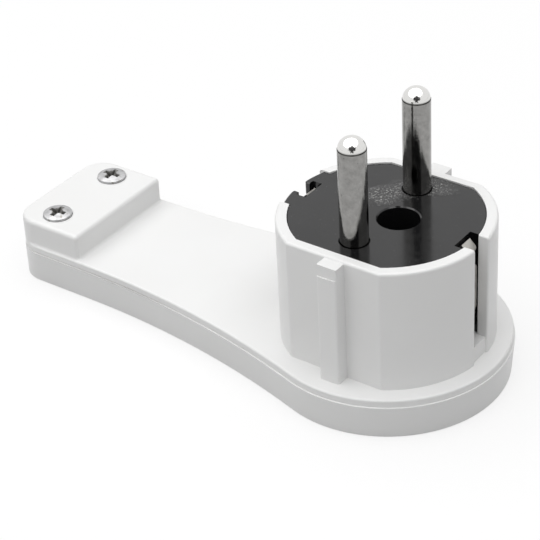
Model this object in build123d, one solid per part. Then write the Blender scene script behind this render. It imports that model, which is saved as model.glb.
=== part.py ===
import os
from math import atan2, cos, hypot, sin, sqrt

from build123d import *

# Flat angled plug, type F, in millimetres.
# Origin: on the plug's axis, midway between the pins, in the plane of the flat back.
# +Z points the way the pins point, -X runs along the handle to the cord inlet, Y is the line of the pins.

# Heights above the flat back
back_floor = 1.5
seam_z = 6.3
plate_z = 7.65
block_z = 12.6
ledge_z = 10.7
face_z = 30.2

# Outline of the flat body, measured at the back cover's rim
disc_r = 21.5
handle_half = 12.95
handle_end = 74.3
handle_corner_r = 6.3
neck_start = 57.0
base_corner_r = 5.3
rim_step = 0.08
plate_inset = 0.22
back_draft = 0.5
end_draft = 0.05
back_edge_r = 0.4
side_wall = 1.8
plate_edge_r = 0.35

# Locating rim of the front housing, which stands inside the back cover's wall
rim_drop = 2.0
rim_wall = 1.2
rim_gap = 0.1

# Collar that goes into the socket
collar_r = 18.35
collar_flat_cut = 2.3
collar_edge_r = 0.5
collar_corner_r = 0.8
collar_wall = 1.93
flat_wall = 1.75
ledge_w = 1.75
ledge_flat_w = 1.6

# Guide ribs on the collar's flats
guide_x = 0.45
guide_w = 3.7
guide_rise = 0.25
guide_top = 29.9
guide_lead = 2.1
guide_step = 0.27
guide_edge_r = 0.4

# Earth slots and the carrier's key
slot_w = 4.1
slot_edge_r = 0.3
slot_floor_depth = 0.55
key_half = 5.9
key_gap = 0.1
key_inset = 0.75
key_lip = 1.1
lip_half_gap = 1.55
lip_end_r = 0.5
lip_drop = 2.3

# Cord clamp block at the handle's end
block_l = 15.1
block_end_gap = 0.5
block_side_gap = 0.7
block_end_r = 4.5
block_near_r = 0.6
block_edge_r = 0.8
block_root_r = 0.6
block_wall = 1.7

# Guides for the conductors inside the handle
rail_near = 20.0
rail_far = 55.0
rail_y = 3.2
rail_t = 1.0
rail_h = 2.6
cross_rib_count = 3
cross_rib_h = 0.8

# Cord inlet
inlet_d = 8.2
inlet_len = 3.0
inlet_wall = 2.2

# Contact carrier
carrier_gap = 0.06
carrier_sink = 0.2
carrier_edge = 0.12
carrier_top = 3.5
carrier_wall = 1.45
notch_depth = 1.89
notch_half = 2.5
hub_x = 2.4
recess_d = 7.12
recess_floor_z = 16.1
head_pocket_d = 6.8
head_pocket_h = 2.7
hub_d = 11.0
spigot_d = 8.0
spigot_gap = 0.15
gusset_run = 4.5
gusset_t = 1.2
bridge_z = 14.0
bridge_t = 0.6

# Contact pins
pin_d = 4.8
pin_len = 19.0
pin_pitch = 19.0
pin_tip = 2.05
pin_tip_step = 0.08
pin_relief = 0.2
pin_neck_d = 4.36
pin_neck_h = 1.0
pin_neck_proud = 0.1
pin_boss_d = 8.6
pin_boss_z = 23.6
pin_flange_d = 6.2
pin_flange_t = 1.2
pin_tail_d = 4.0
pin_tail_len = 3.8

# Terminal blocks and their screws
terminal_x = 7.2
terminal_y = 6.0
terminal_h = 8.8
wire_bore_d = 3.2
wire_bore_up = 3.0
terminal_screw_d = 3.5
terminal_head_d = 5.2
terminal_support_t = 0.8
terminal_head_h = 1.6
terminal_lift = 0.6

# Earth bridge, one strip with a contact spring at each end
strip_w = 3.6
spring_bow_out = 1.4
spring_waist_out = 0.9
spring_flat_low = 16.6
spring_flat_high = 24.0
spring_tip_w = 2.6
earth_pad_x = 8.0
earth_pad_l = 7.0
earth_pad_w = 7.4
earth_screw_d = 3.0
earth_head_d = 5.2
earth_head_h = 1.7
earth_collar_d = 5.0
earth_collar_h = 1.8
clamp_washer_w = 6.6
clamp_washer_t = 0.8

# Centre screw
centre_screw_d = 3.5
centre_head_d = 6.4
centre_head_h = 2.3
centre_dome = 1.1
centre_screw_end = 3.2

# Clamp screws, their inserts and bosses
clamp_end_gap = 7.7
clamp_side_gap = 5.15
clamp_screw_d = 3.0
clamp_head_d = 5.35
clamp_head_h = 2.1
clamp_head_proud = 0.95
clamp_dome = 0.5
clamp_head_gap = 0.06
clamp_screw_len = 8.0
clamp_boss_d = 7.0
insert_d = 4.4
insert_len = 4.0
boss_gap = 0.2

# Cross recess of the visible screws
cross_w = 0.75
cross_span = 3.1
cross_depth = 1.2
cross_core = 1.5

# Loose saddle under the cord
saddle_l = 9.2
saddle_side_gap = 0.75
saddle_t = 1.1
saddle_gap = 0.15
saddle_relief = 0.2
tooth_rise = 0.35
tooth_t = 0.8

# Small clearance between a screw and the hole that holds it
thread_gap = 0.02
screw_clear = 0.2

# Derived sizes
collar_flat = collar_r - collar_flat_cut
opening_r = collar_r - collar_wall
opening_flat = collar_flat - flat_wall
ledge_r = opening_r - ledge_w
ledge_flat = opening_flat - ledge_flat_w
guide_r = collar_r + guide_rise
guide_flat = guide_r - guide_step
slot_floor_reach = collar_r - slot_floor_depth
key_r = collar_r - key_inset
block_end = handle_end - block_end_gap
block_near = block_end - block_l
block_half = handle_half - block_side_gap
clamp_x = handle_end - clamp_end_gap
clamp_pitch = 2 * (handle_half - clamp_side_gap)
saddle_half = handle_half - side_wall - saddle_side_gap
neck_r = (neck_start**2 / (disc_r - handle_half) - (disc_r + handle_half)) / 2
carrier_top_z = face_z - carrier_sink
carrier_r = opening_r - carrier_gap
carrier_flat = opening_flat - carrier_gap
notch_x = carrier_r - notch_depth
spring_bow = notch_x + spring_bow_out
spring_waist = notch_x + spring_waist_out
cavity_z = carrier_top_z - carrier_top
terminal_top_z = pin_boss_z - pin_flange_t
terminal_low_z = terminal_top_z - terminal_h
wire_z = terminal_low_z + wire_bore_up
hub_shoulder_z = bridge_z + bridge_t
boss_seat_z = ledge_z - boss_gap


def plan_face(offset, z, end_offset=None, corner_r=None):
    """The body's outline at height z, moved outwards by offset, and at the handle's end by end_offset."""
    r = disc_r + offset
    w = handle_half + offset
    end = handle_end + (offset if end_offset is None else end_offset)
    corner = corner_r or handle_corner_r + offset
    bend = neck_r - offset
    share = r / (r + bend)
    meet = (-neck_start * share, (w + bend) * share)
    turn = atan2(w + bend - meet[1], meet[0] + neck_start)
    half_turn = (turn - 1.5707963) / 2 + 1.5707963
    mid = (-neck_start + bend * cos(half_turn), w + bend - bend * sin(half_turn))
    diag = corner * (1 - sqrt(0.5))
    edges = [
        Edge.make_three_point_arc((meet[0], -meet[1]), (r, 0), meet),
        Edge.make_three_point_arc(meet, mid, (-neck_start, w)),
        Edge.make_line((-neck_start, w), (corner - end, w)),
        Edge.make_three_point_arc((corner - end, w), (diag - end, w - diag), (-end, w - corner)),
        Edge.make_line((-end, w - corner), (-end, corner - w)),
        Edge.make_three_point_arc((-end, corner - w), (diag - end, diag - w), (corner - end, -w)),
        Edge.make_line((corner - end, -w), (-neck_start, -w)),
        Edge.make_three_point_arc((-neck_start, -w), (mid[0], -mid[1]), (meet[0], -meet[1])),
    ]
    return Pos(0, 0, z) * Face(Wire(edges))


def block(x0, x1, y0, y1, z0, z1):
    """A box given by its lowest and highest corners."""
    return Pos((x0 + x1) / 2, (y0 + y1) / 2, (z0 + z1) / 2) * Box(x1 - x0, y1 - y0, z1 - z0)


def post(x, y, d, z0, z1):
    """An upright round bar between two heights."""
    return Pos(x, y, (z0 + z1) / 2) * Cylinder(d / 2, z1 - z0)


def flatted(r, flat, z0, z1):
    """A round bar on the plug's axis with two flats across the line of the pins."""
    return post(0, 0, 2 * r, z0, z1) & block(-r - 1, r + 1, -flat, flat, z0 - 1, z1 + 1)


def edges_at(part, z, longer_than=0.0):
    """Edges that lie level at height z."""
    level = [e for e in part.edges() if abs(e.bounding_box().min.Z - z) < 1e-4]
    return [e for e in level if abs(e.bounding_box().max.Z - z) < 1e-4 and e.length > longer_than]


def cross_recess(x, y, top):
    """The cross slot in a screw's head, with its bottom a little smaller than its mouth."""
    low = Pos(0, 0, -cross_depth) * Rectangle(cross_span * 0.5, cross_w * 0.7)
    high = Rectangle(cross_span, cross_w)
    arm = loft([low, high]) + block(-cross_span / 2, cross_span / 2, -cross_w / 2, cross_w / 2, 0, 1)
    cone = Pos(0, 0, -cross_depth / 2) * Cone(cross_w * 0.5, cross_core / 2, cross_depth)
    return Pos(x, y, top) * (arm + Rot(0, 0, 90) * arm + cone)


def pan_screw(x, y, seat, d, head_d, head_h, sag, end):
    """A screw pointing down, with a domed head on its seat and a cross recess."""
    dome_r = ((head_d / 2) ** 2 + sag**2) / (2 * sag)
    ball = Pos(x, y, seat + head_h - dome_r) * Sphere(dome_r)
    head = post(x, y, head_d, seat, seat + head_h) & ball
    shank = post(x, y, d, end, seat)
    shank = chamfer(edges_at(shank, end), d * 0.12)
    return head + shank - cross_recess(x, y, seat + head_h)


def slotted_screw(x, y, head_top, d, head_d, head_h, end):
    """A terminal screw driven from below: flat head with a straight slot, shank pointing up."""
    head = post(x, y, head_d, head_top - head_h, head_top)
    head = chamfer(edges_at(head, head_top - head_h), 0.25)
    slot = block(x - head_d, x + head_d, y - 0.4, y + 0.4, head_top - head_h - 1, head_top - head_h * 0.45)
    shank = post(x, y, d, head_top, end)
    shank = chamfer(edges_at(shank, end), 0.3)
    return head + shank - slot


def make_inlet_bar():
    """The round bar that opens the cord inlet through the end wall of both halves."""
    x0 = -handle_end - 5
    x1 = -handle_end + inlet_len + 0.05
    return Pos((x0 + x1) / 2, 0, seam_z) * Rot(0, 90, 0) * Cylinder(inlet_d / 2, x1 - x0)


def make_back_cover():
    """The tray: drafted wall, floor, hub boss, terminal supports, clamp bosses and ribs."""
    shell = loft([plan_face(-back_draft, 0, -end_draft, base_corner_r), plan_face(0, seam_z)], ruled=True)
    shell = fillet(edges_at(shell, 0), back_edge_r)
    shell = chamfer(edges_at(shell, seam_z), rim_step)
    shell -= extrude(plan_face(-side_wall, back_floor), seam_z)

    # Hub boss that the carrier's spigot stands in, with four gussets
    shell += post(hub_x, 0, hub_d, back_floor, bridge_z)
    gusset = loft(
        [
            Pos(hub_x, 0, back_floor) * Rectangle(hub_d + 2 * gusset_run, gusset_t),
            Pos(hub_x, 0, seam_z) * Rectangle(hub_d + 1, gusset_t),
        ]
    )
    for turn in (45, 135):
        shell += Pos(hub_x, 0, 0) * Rot(0, 0, turn) * Pos(-hub_x, 0, 0) * gusset
    shell -= post(hub_x, 0, spigot_d + 2 * spigot_gap, boss_seat_z, bridge_z + 1)
    shell -= post(hub_x, 0, centre_screw_d + 2 * thread_gap, centre_screw_end - 0.5, boss_seat_z + 1)

    # Supports that stand under the terminal blocks, one each side of the screw's head
    for side in (-1, 1):
        y = side * pin_pitch / 2
        for end in (-1, 1):
            x0, x1 = sorted((end * terminal_x / 2, end * (terminal_x / 2 - terminal_support_t)))
            shell += block(x0, x1, y - 2.4, y + 2.4, back_floor, terminal_low_z - 0.05)

    # Bosses for the clamp inserts
    for side in (-1, 1):
        y = side * clamp_pitch / 2
        shell += post(-clamp_x, y, clamp_boss_d, back_floor, seam_z - boss_gap)
        shell -= post(-clamp_x, y, insert_d, seam_z - boss_gap - insert_len, seam_z)

    # Conductor guides along the handle and low cross ribs on the floor
    for side in (-1, 1):
        y = side * rail_y
        shell += block(-rail_far, -rail_near, y - rail_t / 2, y + rail_t / 2, back_floor, back_floor + rail_h)
    for i in range(cross_rib_count):
        x = -rail_near - (rail_far - rail_near) * (i + 1) / (cross_rib_count + 0.5)
        for side in (-1, 1):
            y0, y1 = sorted((side * rail_y, side * (handle_half - side_wall)))
            shell += block(x - 0.4, x + 0.4, y0, y1, back_floor, back_floor + cross_rib_h)

    # Cord inlet: the end wall is thickened round the lower half of the hole
    inlet = make_inlet_bar()
    cheek = block(
        -handle_end + side_wall / 2,
        -handle_end + inlet_len,
        -inlet_d / 2 - inlet_wall,
        inlet_d / 2 + inlet_wall,
        back_floor,
        seam_z,
    )
    return shell + cheek - inlet


def make_front_housing():
    """Plate, collar, guide ribs and cord clamp block, moulded in one piece."""
    plate = extrude(plan_face(-plate_inset, seam_z), plate_z - seam_z)
    plate = fillet(edges_at(plate, plate_z), plate_edge_r)

    # Locating rim inside the tray's wall
    outer_off = -side_wall - rim_gap
    rim = extrude(plan_face(outer_off, seam_z - rim_drop), rim_drop)
    rim -= extrude(plan_face(outer_off - rim_wall, seam_z - rim_drop - 1), rim_drop + 2)

    # Collar with flats and soft corners
    collar = flatted(collar_r, collar_flat, seam_z, face_z)
    uprights = [e for e in collar.edges() if e.bounding_box().size.Z > 5 and abs(e.center().X) < collar_r - 2]
    collar = fillet(uprights, collar_corner_r)
    collar = fillet(edges_at(collar, face_z), collar_edge_r)

    # Guide ribs, set back a little near the top as a lead-in
    ribs = Part()
    for side in (-1, 1):
        y0, y1 = sorted((side * (collar_flat - 1), side * (guide_r + 1)))
        x = -side * guide_x
        rib = block(x - guide_w / 2, x + guide_w / 2, y0, y1, seam_z, guide_top)
        rib &= post(0, 0, 2 * guide_r, seam_z, guide_top)
        outer = [e for e in rib.edges() if e.bounding_box().size.Z > 5 and side * e.center().Y > collar_flat]
        rib = fillet(outer, guide_edge_r)
        t0, t1 = sorted((side * guide_flat, side * (guide_r + 1)))
        rib -= block(x - guide_w, x + guide_w, t0, t1, guide_top - guide_lead, face_z + 1)
        ribs += rib

    # Clamp block: rounded in plan, hollow, with two screw bosses
    clamp_block = make_block_shell()

    housing = plate + clamp_block
    root = [e for e in edges_at(housing, plate_z, 5) if abs(e.center().X + block_near) < 0.01]
    housing = fillet(root, block_root_r)
    housing += rim + collar + ribs
    housing -= flatted(opening_r, opening_flat, ledge_z, face_z + 1)
    housing -= flatted(ledge_r, ledge_flat, seam_z - rim_drop - 1, ledge_z + 1)

    # Earth slot, and the shallow recess that runs on below it, at each side
    housing -= block(ledge_r - 2, collar_r + 2, -slot_w / 2, slot_w / 2, ledge_z, face_z + 1)
    for x0, x1 in ((slot_floor_reach, collar_r + 0.5), (-collar_r - 0.5, -slot_floor_reach)):
        housing -= block(x0, x1, -slot_w / 2, slot_w / 2, plate_z, face_z + 1)
    key_slot = key_half + key_gap
    housing -= block(-collar_r - 2, -ledge_r + 2, -key_slot, key_slot, ledge_z, face_z + 1)
    mouths = []
    for e in housing.edges():
        size, at = e.bounding_box().size, e.center()
        if size.Z > 5 and at.Z > plate_z and abs(abs(at.Y) - slot_w / 2) < 0.01 and at.X > slot_floor_reach:
            mouths.append(e)
    housing = fillet(mouths, slot_edge_r)

    # Room under the clamp block, its screw bosses, and the screws' holes
    housing -= make_block_room()
    for side in (-1, 1):
        y = side * clamp_pitch / 2
        housing -= post(-clamp_x, y, clamp_boss_d + 2 * boss_gap, 0, seam_z)
        housing += post(-clamp_x, y, clamp_boss_d, seam_z, block_z - block_wall)
        head_seat = block_z + clamp_head_proud - clamp_head_h
        housing -= post(-clamp_x, y, clamp_screw_d + 2 * screw_clear, seam_z - 3, block_z)
        housing -= post(-clamp_x, y, clamp_head_d + 2 * clamp_head_gap, head_seat, block_z + 1)

    # Upper half of the cord inlet, with its thickened wall
    cheek = block(
        -block_end + block_wall / 2,
        -handle_end + inlet_len,
        -inlet_d / 2 - inlet_wall,
        inlet_d / 2 + inlet_wall,
        seam_z,
        block_z - block_wall / 2,
    )
    half = inlet_d / 2 + inlet_wall + 0.2
    rim_relief = block(-handle_end, -handle_end + inlet_len + 1, -half, half, 0, seam_z)
    return housing + cheek - rim_relief - make_inlet_bar()


def make_block_shell():
    """The outside of the cord clamp block."""
    solid = block(-block_end, -block_near, -block_half, block_half, seam_z, block_z)
    corners = [e for e in solid.edges() if e.bounding_box().size.Z > 5]
    far = [e for e in corners if e.center().X < -clamp_x]
    solid = fillet(far, block_end_r)
    near = [e for e in solid.edges() if e.bounding_box().size.Z > 5 and abs(e.center().X + block_near) < 0.01]
    solid = fillet(near, block_near_r)
    return fillet(edges_at(solid, block_z), block_edge_r)


def make_block_room():
    """The hollow inside the block, open to the tray below."""
    half = block_half - block_wall
    x0, x1 = -block_end + block_wall, -block_near - block_wall
    room = block(x0, x1, -half, half, seam_z - 0.01, block_z - block_wall)
    corners = [e for e in room.edges() if e.bounding_box().size.Z > 4 and e.center().X < -clamp_x]
    return fillet(corners, block_end_r - block_wall)


def make_carrier():
    """The black insert: a cup that holds the pins, with a hub, a key and earth notches."""
    body = flatted(carrier_r, carrier_flat, ledge_z, carrier_top_z)
    body = chamfer(edges_at(body, carrier_top_z), carrier_edge)

    # Key on the handle's side: two cheeks with lips that narrow the slot near the top
    cheeks = post(0, 0, 2 * key_r, ledge_z, carrier_top_z)
    cheeks &= block(-key_r - 1, -notch_x, -key_half, key_half, ledge_z, carrier_top_z)
    body += cheeks

    # Earth notches
    body -= block(notch_x, carrier_r + 1, -notch_half, notch_half, ledge_z - 1, face_z + 1)
    body -= post(0, 0, 2 * (key_r - key_lip), ledge_z - 1, face_z + 1) & block(
        -key_r, -notch_x, -notch_half, notch_half, ledge_z - 1, face_z + 1
    )
    body -= block(-key_r - 1, -notch_x, -slot_w / 2, slot_w / 2, ledge_z - 1, carrier_top_z - lip_drop)
    body -= block(-key_r - 1, -notch_x, -lip_half_gap, lip_half_gap, ledge_z - 1, face_z + 1)

    # Rounded ends of the lips
    ends = []
    for e in body.edges():
        size, at = e.bounding_box().size, e.center()
        beside_gap = abs(abs(at.Y) - lip_half_gap) < 0.01
        if beside_gap and abs(size.Z - lip_drop) < 0.2 and at.X < 1 - key_r:
            ends.append(e)
    body = fillet(ends, lip_end_r)

    # Inside of the cup, kept clear of the notches
    room = flatted(carrier_r - carrier_wall, carrier_flat - carrier_wall, ledge_z - 1, cavity_z)
    reach = notch_x - carrier_wall
    body -= room & block(-reach, reach, -20, 20, ledge_z - 1, cavity_z)

    # Hub, with the spigot that enters the back cover's boss
    body += post(hub_x, 0, hub_d, hub_shoulder_z, cavity_z)
    body += post(hub_x, 0, spigot_d, ledge_z, hub_shoulder_z)
    body -= post(hub_x, 0, head_pocket_d, recess_floor_z, face_z)
    body -= post(hub_x, 0, recess_d, recess_floor_z + head_pocket_h, face_z + 1)
    body -= post(hub_x, 0, centre_screw_d + 2 * screw_clear, ledge_z - 1, recess_floor_z + 1)
    rings = [e for e in edges_at(body, carrier_top_z) if e.geom_type == GeomType.CIRCLE]
    mouth = [e for e in rings if e.radius < recess_d]
    body = chamfer(mouth, 0.2)

    # Pin bosses and pin holes with a shallow relief at the face
    for side in (-1, 1):
        y = side * pin_pitch / 2
        body += post(0, y, pin_boss_d, pin_boss_z, cavity_z)
        body -= post(0, y, pin_d + 2 * thread_gap, pin_boss_z - 1, face_z + 1)
        body -= post(0, y, pin_d + 2 * pin_relief, carrier_top_z + pin_neck_proud - pin_neck_h, face_z + 1)

    # Windows for the earth strip
    low = bridge_z - 0.15
    high = hub_shoulder_z + 0.6
    body -= block(-notch_x - 1, notch_x + 1, -strip_w / 2 - 0.1, strip_w / 2 + 0.1, low, high) - post(
        hub_x, 0, hub_d + 4, 0, face_z
    )
    return body


def make_pin(side):
    """A solid pin with a rounded end, a flange under the carrier and a tail for its terminal."""
    y = side * pin_pitch / 2
    r = pin_d / 2
    top = face_z + pin_len
    shoulder = top - pin_tip
    tip_r = r - pin_tip_step
    tip = Pos(0, y, shoulder) * scale(Sphere(1), by=(tip_r, tip_r, pin_tip))
    tip &= post(0, y, pin_d, shoulder, top + 1)
    body = post(0, y, pin_d, pin_boss_z, shoulder)
    body = chamfer(edges_at(body, shoulder), pin_tip_step)
    neck_top = carrier_top_z + pin_neck_proud
    neck = post(0, y, pin_d + 1, neck_top - pin_neck_h, neck_top) - post(0, y, pin_neck_d, 0, face_z + 1)
    body -= neck
    flange = post(0, y, pin_flange_d, terminal_top_z, pin_boss_z)
    tail = post(0, y, pin_tail_d, terminal_top_z - pin_tail_len, terminal_top_z)
    return body + tip + flange + tail


def make_terminal(side):
    """A brass block pressed on the pin's tail, with a wire hole and a threaded screw hole."""
    y = side * pin_pitch / 2
    y0, y1 = y - terminal_y / 2, y + terminal_y / 2
    body = block(-terminal_x / 2, terminal_x / 2, y0, y1, terminal_low_z, terminal_top_z)
    body = chamfer(body.edges().filter_by(Axis.Z), 0.5)
    body -= post(0, y, pin_tail_d + 2 * thread_gap, terminal_top_z - pin_tail_len - 0.1, terminal_top_z + 1)
    body -= Pos(0, y, wire_z) * Rot(0, 90, 0) * Cylinder(wire_bore_d / 2, terminal_x + 2)
    return body - post(0, y, terminal_screw_d + 2 * thread_gap, terminal_low_z - 1, wire_z)


def make_terminal_screw(side):
    """The screw that clamps a conductor in its terminal block."""
    y = side * pin_pitch / 2
    head_top = terminal_low_z - terminal_lift
    return slotted_screw(0, y, head_top, terminal_screw_d, terminal_head_d, terminal_head_h, wire_z - 0.4)


def spring_profile(side):
    """Edge-on outline of one spring, drawn along the middle of the strip."""
    mid = bridge_z + bridge_t / 2
    inner = notch_x + bridge_t / 2 + 0.15
    points = [
        (side * (notch_x - 4), 0, mid),
        (side * (inner + 0.55), 0, mid),
        (side * spring_bow, 0, spring_flat_low),
        (side * spring_bow, 0, spring_flat_high),
        (side * spring_waist, 0, carrier_top_z - 3.7),
        (side * (spring_waist + 0.7), 0, carrier_top_z - 1.7),
        (side * inner, 0, carrier_top_z - 0.6),
    ]
    return FilletPolyline(*points, radius=[0.9, 1.5, 1.5, 1.0, 0.5])


def make_earth_bridge():
    """One stamped strip: a ring on the hub, a pad for the earth screw and a spring at each end."""
    z0, z1 = bridge_z, bridge_z + bridge_t
    web = block(-notch_x + 3.9, notch_x - 3.9, -strip_w / 2, strip_w / 2, z0, z1)
    web += post(hub_x, 0, hub_d, z0, z1)
    pad = block(-earth_pad_l / 2, earth_pad_l / 2, -earth_pad_w / 2, earth_pad_w / 2, z0, z1)
    pad = Pos(-earth_pad_x, 0, 0) * pad
    web += fillet(pad.edges().filter_by(Axis.Z), 1.0)
    web += post(-earth_pad_x, 0, earth_collar_d, z1, z1 + earth_collar_h)
    web -= post(hub_x, 0, spigot_d + 2 * spigot_gap, z0 - 1, z1 + 1)
    web -= post(-earth_pad_x, 0, earth_screw_d + 2 * thread_gap, z0 - 1, z1 + earth_collar_h + 1)
    for side in (-1, 1):
        line = spring_profile(side)
        band = trace_strip(line, bridge_t)
        web += Pos(0, strip_w / 2, 0) * extrude(band, strip_w, dir=(0, -1, 0))
    return web - make_tip_cut(-1) - make_tip_cut(1)


def make_tip_cut(side):
    """What is cut off one long edge of both springs to narrow their upper ends."""
    full = side * (strip_w / 2 + 0.5)
    tip = side * spring_tip_w / 2
    z0 = spring_flat_high
    z1 = spring_flat_high + (strip_w - spring_tip_w) / 2 + 0.5
    outline = Polyline((0, full, z0), (0, tip, z1), (0, tip, face_z), (0, full, face_z), close=True)
    return extrude(Face(Wire(outline.edges())), 30, dir=(1, 0, 0), both=True)


def trace_strip(line, thickness):
    """A face of constant thickness round a line that lies in the plane y = 0."""
    plane = Plane(origin=(0, 0, 0), x_dir=(1, 0, 0), z_dir=(0, -1, 0))
    flat = plane.to_local_coords(line)
    face = trace(flat, line_width=thickness)
    return plane * face


def make_earth_screw():
    """The screw of the earth terminal, driven from below through its clamp washer."""
    head_top = bridge_z - clamp_washer_t
    end = hub_shoulder_z + earth_collar_h
    return slotted_screw(-earth_pad_x, 0, head_top, earth_screw_d, earth_head_d, earth_head_h, end)


def make_clamp_washer():
    """Square washer that holds the earth conductor against the bridge."""
    half = clamp_washer_w / 2
    body = block(-earth_pad_x - half, -earth_pad_x + half, -half, half, bridge_z - clamp_washer_t, bridge_z)
    body = chamfer(body.edges().filter_by(Axis.Z), 0.6)
    return body - post(-earth_pad_x, 0, earth_screw_d + 2 * screw_clear, bridge_z - 2, bridge_z + 1)


def make_insert(side):
    """Threaded brass insert in a clamp boss."""
    y = side * clamp_pitch / 2
    top = seam_z - boss_gap
    body = post(-clamp_x, y, insert_d - 2 * thread_gap, top - insert_len, top)
    groove = post(-clamp_x, y, insert_d + 1, top - insert_len / 2 - 0.3, top - insert_len / 2 + 0.3)
    groove -= post(-clamp_x, y, insert_d - 0.5, 0, seam_z)
    return body - groove - post(-clamp_x, y, clamp_screw_d + 2 * thread_gap, 0, seam_z)


def make_clamp_screw(side):
    """A visible screw of the cord clamp block."""
    y = side * clamp_pitch / 2
    seat = block_z + clamp_head_proud - clamp_head_h
    end = seat - clamp_screw_len
    return pan_screw(-clamp_x, y, seat, clamp_screw_d, clamp_head_d, clamp_head_h, clamp_dome, end)


def make_saddle():
    """Saddle that lies in the tray over both clamp bosses, with teeth under the cord."""
    low = back_floor
    body = block(-saddle_l / 2, saddle_l / 2, -saddle_half, saddle_half, low, low + saddle_t)
    body = Pos(-clamp_x, 0, 0) * body
    body = chamfer(body.edges().filter_by(Axis.Z), 1.2)
    half = clamp_pitch / 2 - clamp_boss_d / 2 - 2 * saddle_gap
    body += block(-clamp_x - 3.6, -clamp_x + 3.6, -half, half, low, seam_z - 1.4)
    bore = Pos(-clamp_x, 0, seam_z) * Rot(0, 90, 0)
    body -= bore * Cylinder(inlet_d / 2 + saddle_relief, 20)
    for x in (-2.6, 0, 2.6):
        tooth = block(x - tooth_t / 2, x + tooth_t / 2, -half, half, low, seam_z - 1.4)
        body += Pos(-clamp_x, 0, 0) * tooth - bore * Cylinder(inlet_d / 2 - tooth_rise, 20)
    for side in (-1, 1):
        body -= post(-clamp_x, side * clamp_pitch / 2, clamp_boss_d + 2 * saddle_gap, 0, seam_z)
    return body


def make_centre_screw():
    """The screw deep in the face's round recess, which holds carrier, housing and cover together."""
    size = (centre_screw_d, centre_head_d, centre_head_h, centre_dome)
    return pan_screw(hub_x, 0, recess_floor_z, *size, centre_screw_end)


def build():
    nodes = {
        "back_cover": make_back_cover(),
        "front_housing": make_front_housing(),
        "contact_carrier": make_carrier(),
        "earth_bridge": make_earth_bridge(),
        "earth_clamp_washer": make_clamp_washer(),
        "earth_screw": make_earth_screw(),
        "centre_screw": make_centre_screw(),
        "cord_clamp_saddle": make_saddle(),
    }
    for name, side in (("line", -1), ("neutral", 1)):
        nodes["pin_" + name] = make_pin(side)
        nodes["terminal_block_" + name] = make_terminal(side)
        nodes["terminal_screw_" + name] = make_terminal_screw(side)
    for name, side in (("front", -1), ("rear", 1)):
        nodes["clamp_screw_" + name] = make_clamp_screw(side)
        nodes["clamp_insert_" + name] = make_insert(side)
    return nodes


os.makedirs("parts", exist_ok=True)
for node, shape in build().items():
    export_step(shape, os.path.join("parts", node + ".step"))
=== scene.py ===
import math

import bmesh
import bpy
from mathutils import Matrix, Vector


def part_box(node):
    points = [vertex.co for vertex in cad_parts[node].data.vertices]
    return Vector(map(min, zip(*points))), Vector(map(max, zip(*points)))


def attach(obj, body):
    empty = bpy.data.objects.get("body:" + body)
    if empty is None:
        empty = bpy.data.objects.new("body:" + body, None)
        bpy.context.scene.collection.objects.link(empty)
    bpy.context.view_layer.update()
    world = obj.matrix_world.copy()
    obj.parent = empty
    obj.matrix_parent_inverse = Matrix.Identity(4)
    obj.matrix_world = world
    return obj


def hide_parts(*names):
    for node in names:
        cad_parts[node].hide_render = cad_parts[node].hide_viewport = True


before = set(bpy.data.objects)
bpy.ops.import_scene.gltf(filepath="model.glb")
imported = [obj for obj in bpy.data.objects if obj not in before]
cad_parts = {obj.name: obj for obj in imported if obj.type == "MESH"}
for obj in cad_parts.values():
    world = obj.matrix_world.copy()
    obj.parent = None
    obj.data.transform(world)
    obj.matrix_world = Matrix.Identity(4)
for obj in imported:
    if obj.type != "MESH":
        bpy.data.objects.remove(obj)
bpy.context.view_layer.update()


# Camera. A long lens stands in front of the earth contact on the free side and looks down
# on the face, with the handle running away to the left.
camera_turn = math.radians(37.257)
camera_rise = math.radians(33.264)
camera_roll = math.radians(-3.162)
camera_at = Vector((0.156221, -0.237724, 0.206437))
camera_lens = 135.68
camera_sensor = 36.0
camera_near = 0.01
camera_far = 20.0
camera_data = bpy.data.cameras.new("camera")
camera_data.lens = camera_lens
camera_data.sensor_width = camera_sensor
camera_data.clip_start = camera_near
camera_data.clip_end = camera_far
camera = bpy.data.objects.new("camera", camera_data)
bpy.context.scene.collection.objects.link(camera)
camera.matrix_world = (
    Matrix.Translation(camera_at)
    @ Matrix.Rotation(camera_turn, 4, "Z")
    @ Matrix.Rotation(math.pi / 2 - camera_rise, 4, "X")
    @ Matrix.Rotation(camera_roll, 4, "Z")
)
bpy.context.scene.camera = camera
bpy.context.scene.view_settings.view_transform = "Standard"


# Housing plastic. Front housing and back cover are compression-moulded in the same white
# thermoset, satin from the tool, with a faint skin that only shows in the highlights. Where
# the two meet along the handle, the parting line is painted darker: painted shade that dims
# the step's highlight, broken into patches by noise.
housing_light = (0.806, 0.807, 0.804)
housing_dark = (0.790, 0.790, 0.784)
housing_speck = (0.42, 0.40, 0.37)
housing_rough = (0.29, 0.37)
filler_level = 0.93
seam_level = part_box("back_cover")[0][2] + 0.0063
seam_full = 0.00009
seam_gone = 0.00018
seam_thin = 0.2
handle_from = -0.034
disc_from = -0.012
# The parting line is painted darker along the handle: painted shade that dims the step's highlight.
seam_painted_shade = (0.56, 0.56, 0.55)


def node(tree, kind, place=(0, 0), **values):
    """A new node; each value goes to the input of that name, or else to the property."""
    made = tree.nodes.new(kind)
    made.location = place
    for key, value in values.items():
        if key in made.inputs:
            made.inputs[key].default_value = value
        else:
            setattr(made, key, value)
    return made


def new_material(name, metallic=0.0):
    """A material with its tree, its shader and the piece's own coordinates."""
    made = bpy.data.materials.new(name)
    made.use_nodes = True
    tree = made.node_tree
    shader = tree.nodes["Principled BSDF"]
    shader.location = (900, 0)
    shader.inputs["Metallic"].default_value = metallic
    coords = node(tree, "ShaderNodeTexCoord", (-900, 0))
    return made, tree, shader, coords.outputs["Object"]


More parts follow.
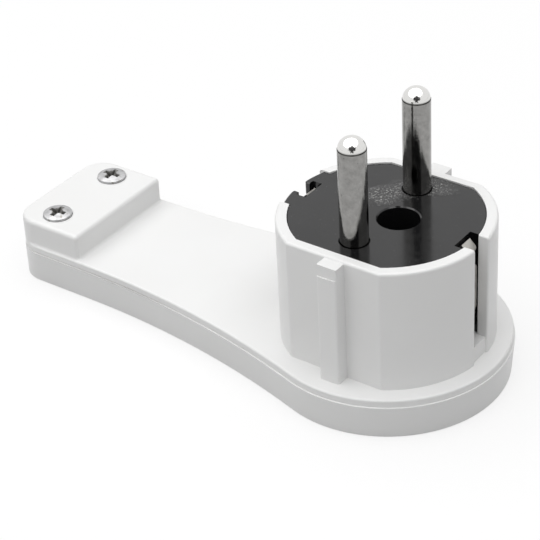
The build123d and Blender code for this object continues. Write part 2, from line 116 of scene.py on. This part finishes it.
def dress(material, *names):
    """Gives the named CAD pieces the material."""
    for name in names:
        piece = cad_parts[name]
        piece.data.materials.clear()
        piece.data.materials.append(material)


def noise(tree, coords, scale, place, detail=3.0, roughness=0.5):
    """Noise between about 0.3 and 0.7; the scale counts lumps per metre."""
    made = node(tree, "ShaderNodeTexNoise", place, Scale=scale, Detail=detail, Roughness=roughness)
    tree.links.new(coords, made.inputs["Vector"])
    return made.outputs["Fac"]


def stretched(tree, coords, scale, place, detail):
    """Noise with another scale along each axis, for marks that run one way."""
    drawn = node(tree, "ShaderNodeMapping", (place[0] - 300, place[1]), Scale=scale)
    tree.links.new(coords, drawn.inputs["Vector"])
    return noise(tree, drawn.outputs[0], 1.0, place, detail=detail)


def spread(tree, value, low, high, place, from_low=0.3, from_high=0.7):
    """The value, spread from its own range over another one and held there."""
    made = node(tree, "ShaderNodeMapRange", place)
    made.inputs["From Min"].default_value = from_low
    made.inputs["From Max"].default_value = from_high
    made.inputs["To Min"].default_value = low
    made.inputs["To Max"].default_value = high
    tree.links.new(value, made.inputs["Value"])
    return made.outputs["Result"]


def above(tree, value, level, width, place):
    """1 where the value is over the level, 0 below it, with a soft step of the given width."""
    return spread(tree, value, 0.0, 1.0, place, level - width / 2, level + width / 2)


def maths(tree, operation, values, place, **more):
    """One step of reckoning with numbers and other nodes' outputs, put on the sockets in order."""
    made = node(tree, "ShaderNodeMath", place, operation=operation, **more)
    for value, socket in zip(values, made.inputs):
        if isinstance(value, bpy.types.NodeSocket):
            tree.links.new(value, socket)
        else:
            socket.default_value = value
    return made.outputs[0]


def product(tree, one, two, place):
    return maths(tree, "MULTIPLY", (one, two), place)


def parts_of(tree, vector, place):
    """The three coordinates of a place, one by one."""
    made = node(tree, "ShaderNodeSeparateXYZ", place)
    tree.links.new(vector, made.inputs[0])
    return made.outputs


def tint(tree, value, dark, light, place):
    """A colour between dark and light, as the value runs from 0 to 1."""
    made = node(tree, "ShaderNodeMix", place, data_type="RGBA")
    made.inputs[6].default_value = (*dark, 1)
    made.inputs[7].default_value = (*light, 1)
    tree.links.new(value, made.inputs["Factor"])
    return made.outputs[2]


def blend_tint(tree, mask, colour, other, place):
    """A colour that turns into another, given one, where the mask is 1."""
    made = node(tree, "ShaderNodeMix", place, data_type="RGBA")
    made.inputs[7].default_value = (*other, 1)
    tree.links.new(colour, made.inputs[6])
    tree.links.new(mask, made.inputs[0])
    return made.outputs[2]


def cloudy(tree, coords, scale, dark, light, detail=3.0, roughness=0.5):
    """The ground colour of a piece, in soft clouds between dark and light."""
    cloud = noise(tree, coords, scale, (-600, 300), detail=detail, roughness=roughness)
    return tint(tree, spread(tree, cloud, 0, 1, (-300, 300)), dark, light, (0, 300))


def bump(tree, shader, height, distance, strength, place, below=None):
    """Relief on the shader, on top of the relief below it if there is one."""
    made = node(tree, "ShaderNodeBump", place, Distance=distance, Strength=strength)
    tree.links.new(height, made.inputs["Height"])
    if below is not None:
        tree.links.new(below, made.inputs["Normal"])
    tree.links.new(made.outputs["Normal"], shader.inputs["Normal"])
    return made.outputs["Normal"]


def dull_white(name, light, dark, speck, rough):
    """Moulded thermoset: cloudy skin, a few dark specks of filler, painted shade along the parting line, fine
    tool grain.
    """
    made, tree, shader, coords = new_material(name)
    shader.inputs["IOR"].default_value = 1.5
    base = cloudy(tree, coords, 60.0, dark, light)
    filler = noise(tree, coords, 700.0, (-600, 550), detail=0.0)
    base = blend_tint(tree, above(tree, filler, filler_level, 0.02, (0, 550)), base, speck, (300, 400))
    # Painted shade along the parting line on the handle, broken into patches by noise.
    x, _, z = parts_of(tree, coords, (-900, 900))
    apart = maths(tree, "SUBTRACT", (z, seam_level), (-700, 900))
    near = maths(tree, "ABSOLUTE", (apart,), (-500, 900))
    seam = spread(tree, near, 1.0, 0.0, (-300, 900), seam_full, seam_gone)
    seam_shade_break = noise(tree, coords, 45.0, (-500, 1100), detail=1.0)
    seam_shade_break = spread(tree, seam_shade_break, seam_thin, 1.0, (-300, 1100))
    on_handle = spread(tree, x, 1.0, 0.0, (-500, 1300), handle_from, disc_from)
    seam_shade_break = product(tree, seam_shade_break, on_handle, (-100, 1100))
    base = blend_tint(tree, product(tree, seam, seam_shade_break, (-100, 900)), base, seam_painted_shade, (450, 700))
    tree.links.new(base, shader.inputs["Base Color"])
    skin = noise(tree, coords, 350.0, (-600, 0), detail=4.0)
    tree.links.new(spread(tree, skin, *rough, (-300, 0)), shader.inputs["Roughness"])
    flow = noise(tree, coords, 90.0, (-600, -300), detail=1.0)
    slow = bump(tree, shader, flow, 0.00008, 0.03, (0, -300))
    grain = noise(tree, coords, 4200.0, (-600, -600), detail=2.0)
    bump(tree, shader, grain, 0.00001, 0.25, (300, -300), slow)
    return made


housing = dull_white("white_thermoset", housing_light, housing_dark, housing_speck, housing_rough)
dress(housing, "front_housing", "back_cover")


# Cord clamp saddle. A loose, toothed bridge under the cord, moulded in a slightly yellower
# thermoset and left rougher, as nobody sees it; it lies round the bosses of the clamp.
saddle_light = (0.76, 0.76, 0.745)
saddle_dark = (0.72, 0.72, 0.70)
saddle_speck = (0.40, 0.38, 0.35)
saddle_rough = (0.42, 0.55)
saddle = dull_white("pale_thermoset", saddle_light, saddle_dark, saddle_speck, saddle_rough)
dress(saddle, "cord_clamp_saddle")


# Contact carrier. One black glass-filled moulding that carries pins and earth strip; its
# face is polished, with a spark-eroded field round the pin behind the centre hole.
carrier_dark = (0.005, 0.005, 0.0055)
carrier_light = (0.009, 0.009, 0.0095)
carrier_rough = (0.10, 0.20)
glass_speck = (0.09, 0.09, 0.09)
glass_level = 0.80
glass_share = 0.4
field_at = (-0.0012, 0.0080, 0.0302)
field_turn = math.radians(48)
field_half = (0.0080, 0.0030)
field_wander = 0.0050
field_soft = 0.0030
field_rough = 0.08
field_grain = (0.30, 0.30, 0.29)
grain_level = 0.585
face_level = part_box("contact_carrier")[1][2] - 0.0001
face_step = 0.0001
carrier, tree, shader, coords = new_material("black_carrier")
shader.inputs["IOR"].default_value = 1.5
place = node(tree, "ShaderNodeMapping", (-900, -500), vector_type="TEXTURE", Location=field_at,
             Rotation=(0, 0, field_turn))
tree.links.new(coords, place.inputs["Vector"])
wander = noise(tree, coords, 420.0, (-900, -850), detail=2.0)
axes = parts_of(tree, place.outputs[0], (-700, -500))
field = None
for axis, half in enumerate(field_half):
    level = -450 - 180 * axis
    far = maths(tree, "ABSOLUTE", (axes[axis],), (-520, level))
    loose = maths(tree, "MULTIPLY_ADD", (wander, field_wander, far), (-340, level))
    side = spread(tree, loose, 1.0, 0.0, (-160, level), half, half + field_soft)
    field = side if field is None else product(tree, field, side, (40, -500))
z = parts_of(tree, coords, (-700, -1100))[2]
top_only = above(tree, z, face_level, face_step, (-500, -1100))
field = product(tree, field, top_only, (200, -600))
base = cloudy(tree, coords, 120.0, carrier_dark, carrier_light)
glass = noise(tree, coords, 2600.0, (-600, 550), detail=0.0)
glass = above(tree, glass, glass_level, 0.05, (-300, 550))
glass = product(tree, glass, product(tree, top_only, glass_share, (-150, 700)), (0, 550))
base = blend_tint(tree, glass, base, glass_speck, (300, 400))
grains = noise(tree, coords, 2300.0, (-600, 800), detail=2.0, roughness=0.7)
grains = product(tree, above(tree, grains, grain_level, 0.08, (-300, 800)), field, (-100, 800))
base = blend_tint(tree, grains, base, field_grain, (500, 400))
tree.links.new(base, shader.inputs["Base Color"])
skin = spread(tree, noise(tree, coords, 700.0, (-600, 0)), *carrier_rough, (-300, 0))
rough = maths(tree, "MULTIPLY_ADD", (field, field_rough, skin), (-100, 0))
tree.links.new(rough, shader.inputs["Roughness"])
ripple = noise(tree, coords, 160.0, (0, -900), detail=1.0)
slow = bump(tree, shader, ripple, 0.00006, 0.25, (300, -900))
spark = noise(tree, coords, 2600.0, (0, -1150), detail=3.0, roughness=0.6)
spark = product(tree, spark, field, (200, -1150))
bump(tree, shader, spark, 0.00030, 1.0, (500, -900), slow)
dress(carrier, "contact_carrier")


# Contact pins. Solid brass, turned, rounded at the end and nickel-plated; the plating keeps
# the fine rings of the turning and a few pits. The dome is painted much lighter than the body,
# a painted reflection of the overhead light, and a thin dark line of painted shade lies in the
# step at the dome's foot.
pin_dark = (0.215, 0.212, 0.205)
pin_light = (0.325, 0.321, 0.312)
pin_pit = (0.13, 0.125, 0.12)
pit_level = 0.76
pin_rough = (0.07, 0.16)
dome_high = 0.00209
# The dome's lighter colour is a painted highlight: a painted reflection of the overhead light.
dome_painted_highlight = (0.74, 0.735, 0.72)
dome_highlight_fade = (0.00005, 0.00035)
# The thin dark line at the dome's foot is painted shade in the shoulder step.
shoulder_painted_shade = (0.03, 0.03, 0.028)
shoulder_shade_fade = (0.00006, 0.00016)
ring_scale = (120.0, 120.0, 5200.0)
pin_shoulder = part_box("pin_line")[1][2] - dome_high
pin_metal, tree, shader, coords = new_material("bright_nickel", metallic=1.0)
base = cloudy(tree, coords, 900.0, pin_dark, pin_light, detail=5.0, roughness=0.7)
pits = noise(tree, coords, 1900.0, (-600, 550), detail=1.0)
base = blend_tint(tree, above(tree, pits, pit_level, 0.04, (-300, 550)), base, pin_pit, (300, 400))
z = parts_of(tree, coords, (-900, 800))[2]
step = maths(tree, "SUBTRACT", (z, pin_shoulder), (-700, 800))
apart = maths(tree, "ABSOLUTE", (step,), (-500, 800))
# Painted shade at the dome's foot and a painted highlight over the dome.
line = spread(tree, apart, 1.0, 0.0, (-300, 800), *shoulder_shade_fade)
dome = spread(tree, step, 0.0, 1.0, (-300, 1050), *dome_highlight_fade)
base = blend_tint(tree, dome, base, dome_painted_highlight, (450, 600))
base = blend_tint(tree, line, base, shoulder_painted_shade, (600, 400))
tree.links.new(base, shader.inputs["Base Color"])
skin = noise(tree, coords, 900.0, (-600, 0), detail=3.0)
tree.links.new(spread(tree, skin, *pin_rough, (-300, 0)), shader.inputs["Roughness"])
turned = stretched(tree, coords, ring_scale, (-600, -300), detail=2.0)
slow = bump(tree, shader, turned, 0.000012, 0.18, (0, -300))
grit = noise(tree, coords, 2600.0, (0, -600), detail=3.0, roughness=0.7)
bump(tree, shader, grit, 0.000035, 0.35, (300, -300), slow)
dress(pin_metal, "pin_line", "pin_neutral")


# Earth bridge. One strip stamped and bent from sheet and nickel-plated, which ends in the
# two side springs; the rolling of the sheet left fine lines along it.
strip_dark = (0.44, 0.425, 0.40)
strip_light = (0.53, 0.515, 0.485)
strip_rough = (0.24, 0.40)
rolled_scale = (300.0, 5200.0, 300.0)


def marked_metal(name, cloud_scale, dark, light, mark_scale, rough, relief):
    """Bare or plated metal with marks of rolling, sawing or turning that run one way."""
    made, tree, shader, coords = new_material(name, metallic=1.0)
    base = cloudy(tree, coords, cloud_scale, dark, light)
    tree.links.new(base, shader.inputs["Base Color"])
    marks = stretched(tree, coords, mark_scale, (-600, -300), detail=3.0)
    tree.links.new(spread(tree, marks, *rough, (-300, 0)), shader.inputs["Roughness"])
    bump(tree, shader, marks, relief, 0.3, (0, -300))
    return made


strip_metal = marked_metal("nickel_strip", 400.0, strip_dark, strip_light, rolled_scale, strip_rough, 0.000012)
dress(strip_metal, "earth_bridge")


# Terminal blocks and clamp inserts. Cut, drilled and turned from plain brass; the blocks sit
# on the pins' tails and the inserts are pressed into the back cover's bosses.
brass_dark = (0.66, 0.48, 0.20)
brass_light = (0.76, 0.58, 0.28)
brass_rough = (0.25, 0.42)
saw_scale = (200.0, 200.0, 6000.0)
brass = marked_metal("drilled_brass", 300.0, brass_dark, brass_light, saw_scale, brass_rough, 0.000015)
dress(brass, "terminal_block_line", "terminal_block_neutral", "clamp_insert_front", "clamp_insert_rear")


# Inner steel screws and the clamp washer. Cold-headed, stamped for the washer, then
# zinc-plated and passivated, which leaves them pale with faint stains.
zinc_dark = (0.50, 0.50, 0.51)
zinc_light = (0.66, 0.66, 0.67)
zinc_stain = (0.40, 0.38, 0.34)
zinc_rough = (0.20, 0.36)
stain_level = 0.66


def zinc_plated(name, cloud_scale, dark, light, stained, rough, relief, shaded_recess=None):
    """Zinc plate with stains and a fine grain; an attribute can mark where painted shade darkens it."""
    made, tree, shader, coords = new_material(name, metallic=1.0)
    base = cloudy(tree, coords, cloud_scale, dark, light, detail=4.0)
    stain = noise(tree, coords, 1300.0, (-600, 550), detail=2.0)
    stain = above(tree, stain, stain_level, 0.08, (-300, 550))
    base = blend_tint(tree, stain, base, stained, (300, 400))
    if shaded_recess is not None:
        attribute, colour = shaded_recess
        mark = node(tree, "ShaderNodeAttribute", (300, 700), attribute_name=attribute)
        base = blend_tint(tree, mark.outputs["Fac"], base, colour, (600, 400))
    tree.links.new(base, shader.inputs["Base Color"])
    skin = noise(tree, coords, 2500.0, (-600, 0))
    tree.links.new(spread(tree, skin, *rough, (-300, 0)), shader.inputs["Roughness"])
    bump(tree, shader, skin, 0.00001, relief, (0, -300))
    return made


zinc = zinc_plated("zinc_plate", 500.0, zinc_dark, zinc_light, zinc_stain, zinc_rough, 0.3)
dress(zinc, "terminal_screw_line", "terminal_screw_neutral", "earth_screw", "earth_clamp_washer", "centre_screw")


# Clamp screws. Two steel screws, cold-headed with a low dome and a cross recess, thread
# rolled, zinc-plated; they pull the clamp block down on the back cover's brass inserts.
# Their recesses are painted dark: painted shade inside the cross.
plate_dark = (0.32, 0.32, 0.325)
plate_light = (0.50, 0.50, 0.505)
plate_stain = (0.26, 0.25, 0.23)
# The recess colour is painted shade.
recess_painted_shade = (0.20, 0.197, 0.19)
plate_rough = (0.38, 0.52)
screw_low, screw_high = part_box("clamp_screw_front")
screw_x = (screw_low[0] + screw_high[0]) / 2
screw_y = (screw_low[1] + screw_high[1]) / 2
screw_top = screw_high[2]
screw_end = screw_low[2]
screw_turn = math.radians(4)
screw_seed = 3
head_r = (screw_high[0] - screw_low[0]) / 2
head_high = 0.0021
head_soft = 0.00012
head_chamfer = 0.00005
dome_sag = 0.0005
dome_r = (head_r**2 + dome_sag**2) / (2 * dome_sag)
shank_r = 0.0015
tip_share = 0.76
thread_root = 0.00128
thread_pitch = 0.0005
thread_run = 0.0050
thread_wear = 0.00002
thread_stop = 0.0005
turned_steps = 72
inner_corner = 0.55
# Height, reach of an arm and half its width, from the flared mouth down to the point
recess_levels = (
    (0.0006, 0.00190, 0.00066),
    (-0.00005, 0.00180, 0.00056),
    (-0.00022, 0.00168, 0.00046),
    (-0.00080, 0.00124, 0.00038),
    (-0.00125, 0.00078, 0.00028),
    (-0.00150, 0.00030, 0.00014),
)
# Reach and depth of the painted shade in the recesses.
shade_reach = 0.0020
shade_from = 0.00004
shade_to = 0.0016
sharp_angle = math.radians(32)
plate = zinc_plated("screw_plate", 900.0, plate_dark, plate_light, plate_stain, plate_rough, 0.5,
                    shaded_recess=("recess", recess_painted_shade))


def lathe(profile, steps):
    """A closed turned shape from its outline of radius and height, first and last on the axis."""
    made = bmesh.new()
    rings = []
    for r, z in profile:
        if r < 1e-7:
            rings.append([made.verts.new((0, 0, z))])
        else:
            turns = [2 * math.pi * i / steps for i in range(steps)]
            rings.append([made.verts.new((r * math.cos(a), r * math.sin(a), z)) for a in turns])
    for low, high in zip(rings, rings[1:]):
        for i in range(steps):
            k = (i + 1) % steps
            corners = [low[i % len(low)], low[k % len(low)], high[k % len(high)], high[i % len(high)]]
            corners = list(dict.fromkeys(corners))
            made.faces.new(corners)
    bmesh.ops.recalc_face_normals(made, faces=made.faces)
    return made


def as_object(name, mesh):
    """An object of the scene round a mesh or a lamp."""
    thing = bpy.data.objects.new(name, mesh)
    bpy.context.scene.collection.objects.link(thing)
    return thing


def as_mesh(name, made):
    mesh = bpy.data.meshes.new(name)
    made.to_mesh(mesh)
    made.free()
    return mesh


def screw_outline():
    """Half section of the screw, from the top of the dome to the tip, top at height 0."""
    edge = head_r - head_soft
    points = [(0, 0)]
    for i in range(1, 13):
        r = edge * i / 12
        points.append((r, math.sqrt(dome_r**2 - r**2) - dome_r))
    start = points[-1][1]
    for i in range(1, 5):
        a = i / 4 * math.pi / 2
        points.append((edge + head_soft * math.sin(a), start - head_soft * (1 - math.cos(a))))
    points.append((head_r, -head_high + head_chamfer))
    points.append((head_r - head_chamfer, -head_high))
    points.append((shank_r, -head_high))
    tip = screw_end - screw_top
    z = tip + thread_run
    points.append((shank_r, z + thread_pitch / 2))
    while z > tip + thread_stop:
        points.append((thread_root, z))
        points.append((shank_r - thread_wear, z - thread_pitch / 2))
        z -= thread_pitch
    points.append((shank_r * tip_share, tip))
    points.append((0, tip))
    return points


def cross_ring(made, z, arm, half):
    """One level of the cross recess: four arms with rounded inner corners."""
    ring = []
    soft = half * inner_corner
    for quarter in range(4):
        turn = Matrix.Rotation(quarter * math.pi / 2, 3, "Z")
        corner = [(arm, -half), (arm, half)]
        for i in range(4):
            a = i / 3 * math.pi / 2
            corner.append((half + soft * (1 - math.sin(a)), half + soft * (1 - math.cos(a))))
        for x, y in corner:
            ring.append(made.verts.new(turn @ Vector((x, y, z))))
    return ring


def cross_cutter():
    """The punch that leaves the cross recess, with a flared mouth."""
    made = bmesh.new()
    rings = [cross_ring(made, *level) for level in recess_levels]
    for upper, lower in zip(rings, rings[1:]):
        for i in range(len(upper)):
            k = (i + 1) % len(upper)
            made.faces.new((upper[i], upper[k], lower[k], lower[i]))
    ends = [made.faces.new(rings[0]), made.faces.new(rings[-1])]
    bmesh.ops.triangulate(made, faces=ends)
    bmesh.ops.recalc_face_normals(made, faces=made.faces)
    return made


screws = as_object("clamp_screws_blank", as_mesh("clamp_screws_blank", lathe(screw_outline(), turned_steps)))
punch = as_object("cross_punch", as_mesh("cross_punch", cross_cutter()))
tree = bpy.data.node_groups.new("screw_row", "GeometryNodeTree")
sockets = {}
for label, kind in (
    ("Geometry", "NodeSocketGeometry"),
    ("Recess", "NodeSocketObject"),
    ("First Place", "NodeSocketVector"),
    ("Step", "NodeSocketVector"),
    ("Count", "NodeSocketInt"),
    ("Loose Turn", "NodeSocketFloat"),
    ("Seed", "NodeSocketInt"),
    ("Plate", "NodeSocketMaterial"),
):
    sockets[label] = tree.interface.new_socket(label, in_out="INPUT", socket_type=kind).identifier
tree.interface.new_socket("Geometry", in_out="OUTPUT", socket_type="NodeSocketGeometry")
given = node(tree, "NodeGroupInput", (-900, 0))
result = node(tree, "NodeGroupOutput", (900, 0))
punched = node(tree, "GeometryNodeObjectInfo", (-600, -300))
cut = node(tree, "GeometryNodeMeshBoolean", (-350, 0), operation="DIFFERENCE", solver="EXACT")
row = node(tree, "GeometryNodeMeshLine", (-350, 350), mode="OFFSET")
loose = node(tree, "FunctionNodeRandomValue", (-350, -400), data_type="FLOAT")
back = product(tree, given.outputs["Loose Turn"], -1.0, (-600, -600))
upright = node(tree, "ShaderNodeCombineXYZ", (-120, -400))
spread_out = node(tree, "GeometryNodeInstanceOnPoints", (100, 100))
solid = node(tree, "GeometryNodeRealizeInstances", (350, 100))
plated = node(tree, "GeometryNodeSetMaterial", (600, 100))
for start, end in (
    (given.outputs["Geometry"], cut.inputs[0]),
    (given.outputs["Recess"], punched.inputs[0]),
    (punched.outputs["Geometry"], cut.inputs[1]),
    (given.outputs["First Place"], row.inputs["Start Location"]),
    (given.outputs["Step"], row.inputs["Offset"]),
    (given.outputs["Count"], row.inputs["Count"]),
    (back, loose.inputs[2]),
    (given.outputs["Loose Turn"], loose.inputs[3]),
    (given.outputs["Seed"], loose.inputs["Seed"]),
    (loose.outputs[1], upright.inputs[2]),
    (row.outputs["Mesh"], spread_out.inputs["Points"]),
    (cut.outputs[0], spread_out.inputs["Instance"]),
    (upright.outputs[0], spread_out.inputs["Rotation"]),
    (spread_out.outputs[0], solid.inputs[0]),
    (solid.outputs[0], plated.inputs[0]),
    (given.outputs["Plate"], plated.inputs["Material"]),
    (plated.outputs[0], result.inputs[0]),
):
    tree.links.new(start, end)
rows = screws.modifiers.new("rows", "NODES")
rows.node_group = tree
for label, value in (
    ("Recess", punch),
    ("First Place", (screw_x, screw_y, screw_top)),
    ("Step", (0.0, -2 * screw_y, 0.0)),
    ("Count", 2),
    ("Loose Turn", screw_turn),
    ("Seed", screw_seed),
    ("Plate", plate),
):
    rows[sockets[label]] = value
bpy.context.view_layer.update()
placed = bpy.data.meshes.new_from_object(screws.evaluated_get(bpy.context.evaluated_depsgraph_get()))
screws.modifiers.remove(rows)
screws.data = placed
screws.name = "clamp_screws"
bpy.data.objects.remove(punch)
# The faces inside the cross recess are marked for painted shade.
recess = placed.attributes.new("recess", "FLOAT", "FACE")
for face in placed.polygons:
    face.use_smooth = True
    x, y, z = face.center
    out = math.hypot(x - screw_x, abs(y) - abs(screw_y))
    below = screw_top - z - out**2 / (2 * dome_r)
    recess.data[face.index].value = float(out < shade_reach and shade_from < below < shade_to)
placed.set_sharp_from_angle(angle=sharp_angle)
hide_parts("clamp_screw_front", "clamp_screw_rear")
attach(screws, "root")


# Floor. A wide pale table under the plug, which takes its soft shadow; seen directly, it
# glows so that it turns white away from the plug. It is no part of the plug.
floor_grey = 0.50
floor_pale = 0.90
floor_glow = 0.72
floor_reach = 3.0
floor_drop = 0.00002
corners = [(-floor_reach, -floor_reach, 0), (floor_reach, -floor_reach, 0),
           (floor_reach, floor_reach, 0), (-floor_reach, floor_reach, 0)]
floor_mesh = bpy.data.meshes.new("floor")
floor_mesh.from_pydata(corners, [], [(0, 1, 2, 3)])
floor_mesh.transform(Matrix.Translation((0, 0, -floor_drop)))
floor = as_object("floor", floor_mesh)
floor_paint = bpy.data.materials.new("floor_paint")
floor_paint.use_nodes = True
tree = floor_paint.node_tree
tree.nodes.clear()
paint = node(tree, "ShaderNodeBsdfDiffuse", (-200, 0), Color=(floor_grey, floor_grey, floor_grey, 1))
pale = node(tree, "ShaderNodeBsdfDiffuse", (-200, -150), Color=(floor_pale, floor_pale, floor_pale, 1))
glow = node(tree, "ShaderNodeEmission", (-200, -300), Color=(1, 1, 1, 1), Strength=1.0)
seen = node(tree, "ShaderNodeMixShader", (100, -200), Fac=floor_glow)
tree.links.new(pale.outputs[0], seen.inputs[1])
tree.links.new(glow.outputs[0], seen.inputs[2])


def one_of_two(tree, kind, unseen, seen):
    """Shows one shader to the camera and to what metal or glass mirrors, and lights with the other."""
    out = node(tree, kind, (800, 0))
    path = node(tree, "ShaderNodeLightPath", (-600, 300))
    rays = (path.outputs["Is Camera Ray"], path.outputs["Is Glossy Ray"])
    watched = maths(tree, "MAXIMUM", rays, (-300, 350))
    watched = maths(tree, "MAXIMUM", (watched, path.outputs["Is Transmission Ray"]), (-100, 350))
    choice = node(tree, "ShaderNodeMixShader", (400, 0))
    tree.links.new(watched, choice.inputs["Fac"])
    tree.links.new(unseen.outputs[0], choice.inputs[1])
    tree.links.new(seen.outputs[0], choice.inputs[2])
    tree.links.new(choice.outputs[0], out.inputs["Surface"])


one_of_two(tree, "ShaderNodeOutputMaterial", paint, seen)
floor.data.materials.append(floor_paint)


# Room. White wherever the camera or a mirroring surface looks, and otherwise a soft light
# that leans to one side and is strongest from two opposite sides. It is no part of the plug.
room_level = 0.165
room_tilt = (0.095, -0.095, -0.045)
room_sides = 0.26
room_across = (0.835, 0.549, 0.0)
world = bpy.data.worlds.new("room")
bpy.context.scene.world = world
world.use_nodes = True
tree = world.node_tree
tree.nodes.clear()
way = node(tree, "ShaderNodeTexCoord", (-600, -300)).outputs["Generated"]


def along(tree, way, direction, place):
    """How far a way into the room points along the given direction."""
    made = node(tree, "ShaderNodeVectorMath", place, operation="DOT_PRODUCT")
    made.inputs[1].default_value = direction
    tree.links.new(way, made.inputs[0])
    return made.outputs["Value"]


lean = along(tree, way, room_tilt, (-400, -300))
across = along(tree, way, room_across, (-400, -500))
sides = product(tree, product(tree, across, across, (-250, -500)), room_sides, (-100, -500))
level = maths(tree, "ADD", (lean, room_level), (-200, -300))
lit = maths(tree, "ADD", (level, sides), (-50, -300), use_clamp=True)
white = node(tree, "ShaderNodeBackground", (0, 0), Color=(1, 1, 1, 1), Strength=1.0)
room = node(tree, "ShaderNodeBackground", (0, -200), Color=(1, 1, 1, 1))
tree.links.new(lit, room.inputs["Strength"])
one_of_two(tree, "ShaderNodeOutputWorld", room, white)


# Lamp. One wide round softbox, high above the plug and a little toward the handle and the
# camera; it gives the soft shadow and the brightness of everything that lies flat.
lamp_wide = 2.0
lamp_power = 18.4
lamp_at = (-0.10, -0.10, 1.0)
lamp_data = bpy.data.lights.new("overhead", "AREA")
lamp_data.shape = "DISK"
lamp_data.size = lamp_wide
lamp_data.energy = lamp_power
lamp = as_object("overhead", lamp_data)
lamp.location = lamp_at
lamp.rotation_euler = Vector(lamp_at).to_track_quat("Z", "Y").to_euler()


# Camera stand. A dark flat shape of a camera on its stand, behind the lens, which only the
# pins' domes and the screws mirror; it throws no shadow and isn't seen.
stand_size = 1.25
stand_behind = 0.02
stand_grey = 0.09
stand_rough = 0.9
stand_outline = (
    (-0.13, 0.10), (-0.05, 0.12), (-0.04, 0.17), (0.05, 0.17), (0.06, 0.12),
    (0.15, 0.09), (0.14, -0.06), (0.05, -0.08), (0.13, -0.36), (0.08, -0.37),
    (0.0, -0.12), (-0.08, -0.37), (-0.13, -0.36), (-0.05, -0.08), (-0.14, -0.06),
)
stand_mesh = bpy.data.meshes.new("camera_stand")
corners = [(stand_size * x, stand_size * y, stand_behind) for x, y in stand_outline]
stand_mesh.from_pydata(corners, [], [tuple(range(len(corners)))])
stand_mesh.transform(camera.matrix_world)
stand = as_object("camera_stand", stand_mesh)
stand_paint = bpy.data.materials.new("stand_paint")
stand_paint.use_nodes = True
shader = stand_paint.node_tree.nodes["Principled BSDF"]
shader.inputs["Base Color"].default_value = (stand_grey, stand_grey, stand_grey, 1)
shader.inputs["Roughness"].default_value = stand_rough
stand_mesh.materials.append(stand_paint)
stand.visible_camera = False
stand.visible_diffuse = False
stand.visible_shadow = False
